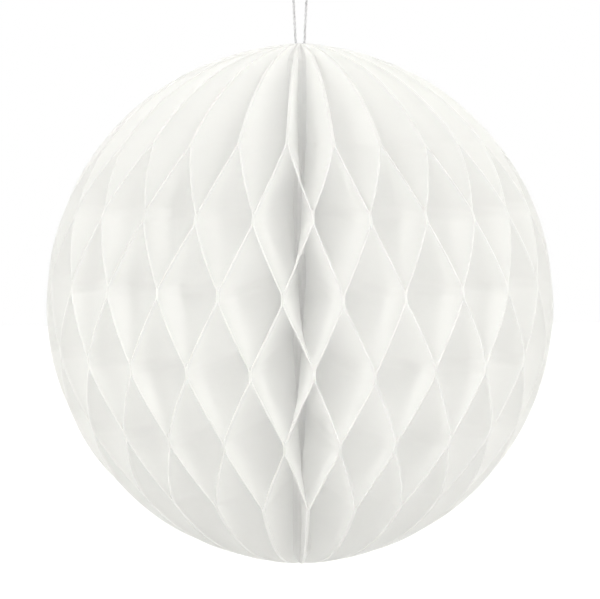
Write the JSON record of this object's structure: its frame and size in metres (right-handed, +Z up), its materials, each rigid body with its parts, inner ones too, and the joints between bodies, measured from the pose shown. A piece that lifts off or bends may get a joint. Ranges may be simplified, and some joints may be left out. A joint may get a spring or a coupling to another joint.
{
  "type": "honeycomb paper ball",
  "caption": "White tissue-paper ball: half-disc leaves bound round an upright spine and glued in rows into open diamond cells, hung by a loop of string.",
  "frame": {"origin": "halfway between the ball's two poles, on the axis of the spine", "axes": "+Z up along the spine towards the hanging loop, -Y towards the closing seam, which the picture shows at the front, and +X to the right in that view"},
  "size_m": [0.1998, 0.1997, 0.2452],
  "materials": {
    "tissue": "matte, slightly translucent",
    "string": "twisted, matte"
  },
  "bodies": {
    "root": {"tissue_leaf_01": "tissue", "tissue_leaf_02": "tissue", "tissue_leaf_03": "tissue", "tissue_leaf_04": "tissue", "tissue_leaf_05": "tissue", "tissue_leaf_06": "tissue", "tissue_leaf_07": "tissue", "tissue_leaf_08": "tissue", "tissue_leaf_09": "tissue", "tissue_leaf_10": "tissue", "tissue_leaf_11": "tissue", "tissue_leaf_12": "tissue", "tissue_leaf_13": "tissue", "tissue_leaf_14": "tissue", "tissue_leaf_15": "tissue", "tissue_leaf_16": "tissue", "tissue_leaf_17": "tissue", "tissue_leaf_18": "tissue", "tissue_leaf_19": "tissue", "tissue_leaf_20": "tissue", "tissue_leaf_21": "tissue", "tissue_leaf_22": "tissue", "tissue_leaf_23": "tissue", "tissue_leaf_24": "tissue", "tissue_leaf_25": "tissue", "tissue_leaf_26": "tissue", "tissue_leaf_27": "tissue", "tissue_leaf_28": "tissue", "tissue_leaf_29": "tissue", "tissue_leaf_30": "tissue", "tissue_leaf_31": "tissue", "tissue_leaf_32": "tissue", "tissue_leaf_33": "tissue", "tissue_leaf_34": "tissue", "tissue_leaf_35": "tissue", "tissue_leaf_36": "tissue", "tissue_leaf_37": "tissue", "tissue_leaf_38": "tissue", "tissue_leaf_39": "tissue", "tissue_leaf_40": "tissue", "tissue_leaf_41": "tissue", "tissue_leaf_42": "tissue", "tissue_leaf_43": "tissue", "tissue_leaf_44": "tissue", "tissue_leaf_45": "tissue", "tissue_leaf_46": "tissue", "tissue_leaf_47": "tissue", "tissue_leaf_48": "tissue", "tissue_leaf_49": "tissue", "tissue_leaf_50": "tissue", "tissue_leaf_51": "tissue", "tissue_leaf_52": "tissue", "hanging_string": "string", "string_knot": "string"}
  },
  "joints": []
}
